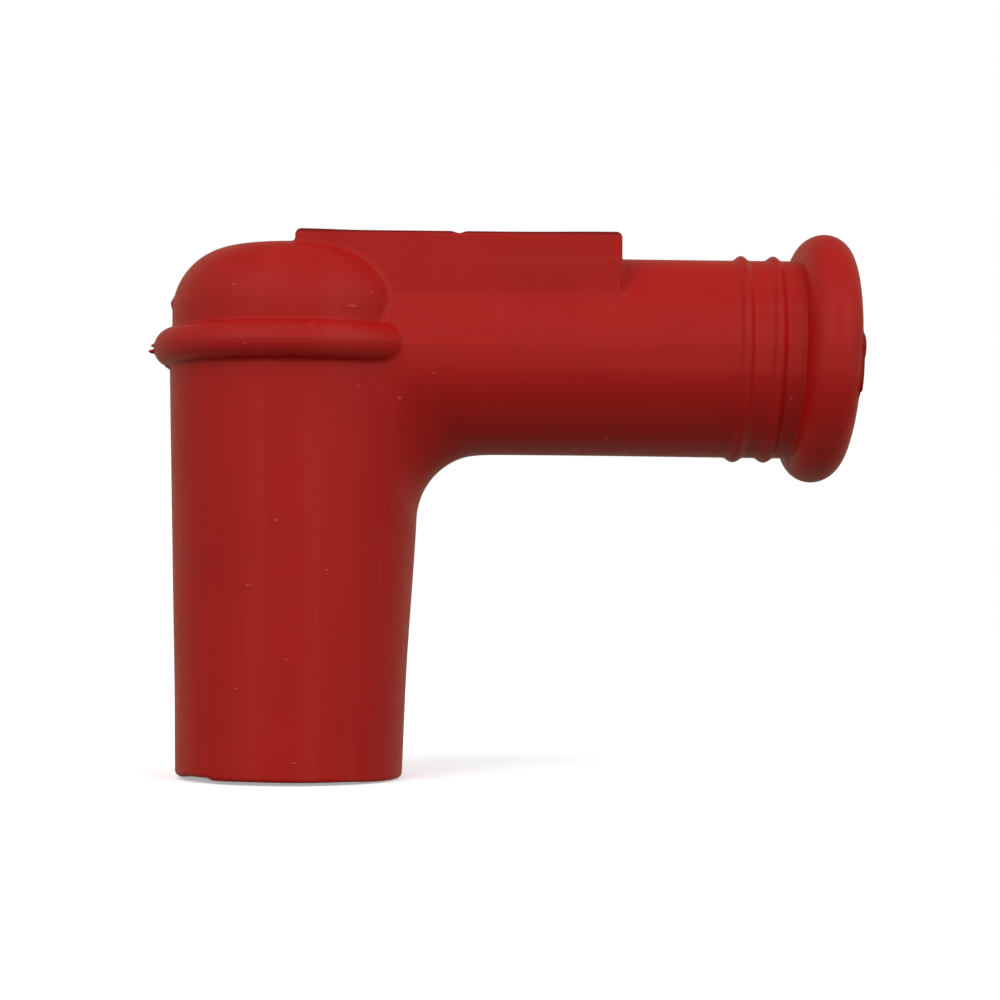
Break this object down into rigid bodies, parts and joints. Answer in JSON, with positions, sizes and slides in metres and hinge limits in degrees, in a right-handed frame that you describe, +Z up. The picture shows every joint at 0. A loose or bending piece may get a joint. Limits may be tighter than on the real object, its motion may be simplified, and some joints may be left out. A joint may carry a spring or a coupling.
{
  "type": "spark plug cap",
  "caption": "Right-angle red silicone cap for a spark plug: drafted barrel, collar, domed elbow, flat-sided pad and ribbed lead outlet, with a brass socket inside.",
  "frame": {"origin": "centre of the barrel's mouth, on the plug axis and in the plane of the mouth", "axes": "+Z up the plug axis from the mouth to the dome, +X along the lead outlet, +Y across the plane of symmetry"},
  "size_m": [0.0686, 0.0282, 0.0543],
  "materials": {
    "silicone": "matt to satin moulded silicone, red",
    "socket_brass": "turned, slightly dull",
    "clip_steel": "spring wire",
    "contact_brass": "turned",
    "spring_steel": "spring wire",
    "rod_ceramic": "fired ceramic, pale",
    "cup_steel": "tinned, pressed",
    "screw_brass": "turned and threaded"
  },
  "bodies": {
    "root": {"boot": "silicone", "plug_socket": "socket_brass", "socket_clip": "clip_steel", "contact_block": "contact_brass", "contact_spring": "spring_steel", "resistor_rod": "rod_ceramic", "resistor_cup_inner": "cup_steel", "resistor_cup_outer": "cup_steel", "lead_screw": "screw_brass"}
  },
  "joints": []
}
